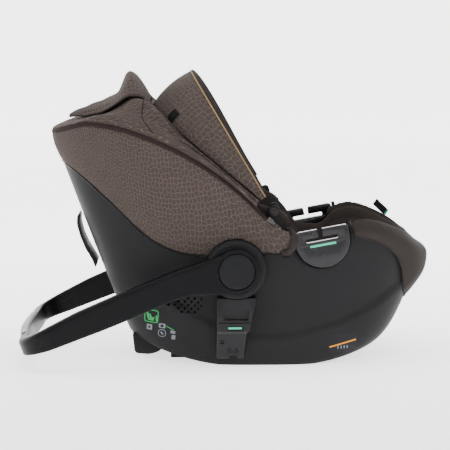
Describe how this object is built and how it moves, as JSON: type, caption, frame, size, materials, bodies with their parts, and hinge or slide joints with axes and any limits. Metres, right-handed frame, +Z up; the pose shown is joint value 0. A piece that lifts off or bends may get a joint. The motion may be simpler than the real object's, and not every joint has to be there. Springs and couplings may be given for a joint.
{
  "type": "infant car seat",
  "caption": "Rearward-facing infant car seat: rocking bucket shell with fabric seat, swing-down carry handle, folding hood, belt guides and base couplings.",
  "frame": {"origin": "on the floor, under the middle of the whole seat", "axes": "+X to the foot end, +Z up, child's right side is -Y"},
  "size_m": [0.7383, 0.444, 0.5154],
  "materials": {
    "shell_plastic": "matte",
    "trim_plastic": "satin",
    "soft_touch": "matte",
    "green_mark": "satin",
    "bare_steel": "satin",
    "embossed_jersey": "matte",
    "smooth_jersey": "matte",
    "binding": "matte",
    "webbing": "matte",
    "liner_foam": "matte",
    "red_button": "satin",
    "grey_button": "satin"
  },
  "bodies": {
    "seat": {"shell": "shell_plastic", "rear_foot": "shell_plastic", "base_coupler": "shell_plastic", "base_bar_front": "bare_steel", "base_bar_rear": "bare_steel", "rear_belt_hook": "shell_plastic", "foam_liner": "liner_foam", "seat_cover": "smooth_jersey", "foot_cover": "smooth_jersey", "outer_cover": "embossed_jersey", "zip_tape": "binding", "zip_slider": "bare_steel", "belt_guide_right": "trim_plastic", "belt_guide_left": "trim_plastic", "guide_mark_right": "green_mark", "guide_mark_left": "green_mark", "hub_housing_right": "shell_plastic", "hub_housing_left": "shell_plastic", "pivot_axle_right": "bare_steel", "pivot_axle_left": "bare_steel", "side_latch_right": "trim_plastic", "side_latch_left": "trim_plastic", "latch_mark_right": "green_mark", "latch_mark_left": "green_mark", "vent_grille_right": "shell_plastic", "vent_grille_left": "shell_plastic", "hood_bracket_right": "trim_plastic", "hood_bracket_left": "trim_plastic", "newborn_insert": "smooth_jersey", "shoulder_strap_right": "webbing", "shoulder_strap_left": "webbing", "shoulder_pad_right": "embossed_jersey", "shoulder_pad_left": "embossed_jersey", "crotch_strap": "webbing", "crotch_pad": "embossed_jersey", "buckle_body": "shell_plastic", "buckle_tongues": "bare_steel", "adjuster_housing": "shell_plastic", "adjuster_strap": "webbing", "release_pocket": "shell_plastic", "foot_tag": "webbing"},
    "handle": {"handle_frame": "trim_plastic", "handle_grip": "soft_touch"},
    "button_right": {"handle_button_right": "trim_plastic"},
    "button_left": {"handle_button_left": "trim_plastic"},
    "hood_mid": {"hood_bow_mid": "soft_touch", "hood_rear_fabric": "embossed_jersey", "hood_tab": "webbing"},
    "hood_front": {"hood_bow_front": "soft_touch", "hood_visor_fabric": "embossed_jersey"},
    "headrest": {"headrest": "embossed_jersey"},
    "buckle_button": {"buckle_button": "red_button"},
    "adjuster_button": {"adjuster_button": "grey_button"},
    "release_lever": {"release_lever": "trim_plastic"},
    "zip_pull": {"zip_pull": "bare_steel"}
  },
  "joints": [
    {"name": "handle_swing", "type": "hinge", "parent": "seat", "child": "handle", "pos_m": [0.02, 0, 0.176], "axis": [0, 1, 0], "range_deg": [0, 110]},
    {"name": "button_right_press", "type": "slide", "parent": "handle", "child": "button_right", "axis": [0, 1, 0], "range_m": [0, 0.005], "stiffness_N_per_m": 900, "springref_m": -0.002},
    {"name": "button_left_press", "type": "slide", "parent": "handle", "child": "button_left", "axis": [0, -1, 0], "range_m": [0, 0.005], "stiffness_N_per_m": 900, "springref_m": -0.002},
    {"name": "hood_mid_fold", "type": "hinge", "parent": "seat", "child": "hood_mid", "pos_m": [0.085, 0, 0.278], "axis": [0, 1, 0], "range_deg": [0, 34], "deforming": ["hood_rear_fabric"]},
    {"name": "hood_front_fold", "type": "hinge", "parent": "hood_mid", "child": "hood_front", "pos_m": [0.085, 0, 0.278], "axis": [0, 1, 0], "range_deg": [-10, 24], "deforming": ["hood_visor_fabric"]},
    {"name": "headrest_slide", "type": "slide", "parent": "seat", "child": "headrest", "axis": [-0.5547, 0, 0.8321], "range_m": [0, 0.05]},
    {"name": "buckle_press", "type": "slide", "parent": "seat", "child": "buckle_button", "axis": [0, 0, -1], "range_m": [0, 0.003], "stiffness_N_per_m": 800, "springref_m": -0.002},
    {"name": "adjuster_press", "type": "slide", "parent": "seat", "child": "adjuster_button", "axis": [0, 0, -1], "range_m": [0, 0.003], "stiffness_N_per_m": 600, "springref_m": -0.002},
    {"name": "release_pull", "type": "slide", "parent": "seat", "child": "release_lever", "axis": [-0.4067, 0, 0.9135], "range_m": [0, 0.006], "stiffness_N_per_m": 1200, "springref_m": -0.003},
    {"name": "zip_pull_swing", "type": "hinge", "parent": "seat", "child": "zip_pull", "pos_m": [0.07845, -0.19886, 0.26199], "axis": [0, 1, 0], "range_deg": [-30, 45]}
  ]
}
